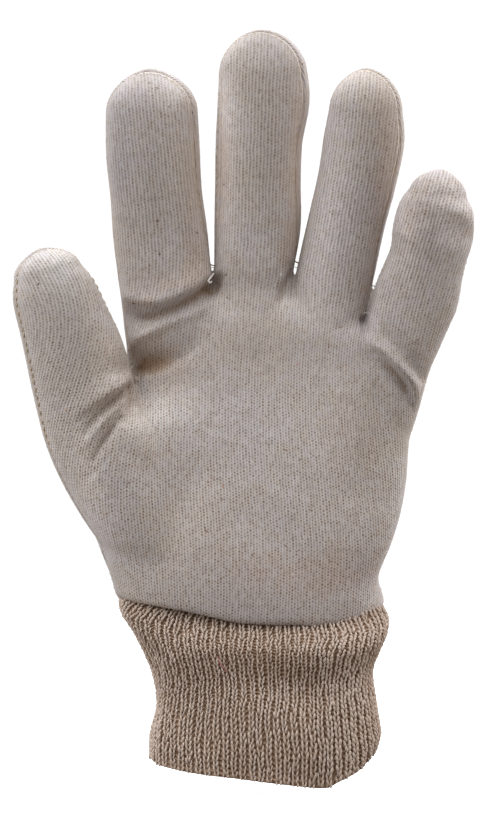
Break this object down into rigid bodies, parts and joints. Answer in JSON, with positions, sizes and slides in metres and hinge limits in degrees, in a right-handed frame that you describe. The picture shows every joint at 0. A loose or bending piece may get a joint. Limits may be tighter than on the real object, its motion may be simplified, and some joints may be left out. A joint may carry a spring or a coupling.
{
  "type": "cotton work glove",
  "caption": "Left-hand cotton jersey work glove with separate fingers, sewn from a palm and a back panel, with a ribbed knit wrist, in the rounded form it has when worn.",
  "frame": {"origin": "centre of the wrist opening, at its lower edge, where the glove is held up", "axes": "+Z towards the fingertips, +X towards the little finger's side, -Y out of the palm"},
  "size_m": [0.1521, 0.054, 0.2491],
  "materials": {
    "stockinet": "soft unbleached cotton jersey, matt, lightly fuzzy",
    "rib_knit": "beige ribbed knit, matt"
  },
  "bodies": {
    "root": {"palm_panel": "stockinet", "back_panel": "stockinet", "knit_wrist": "rib_knit"}
  },
  "joints": []
}
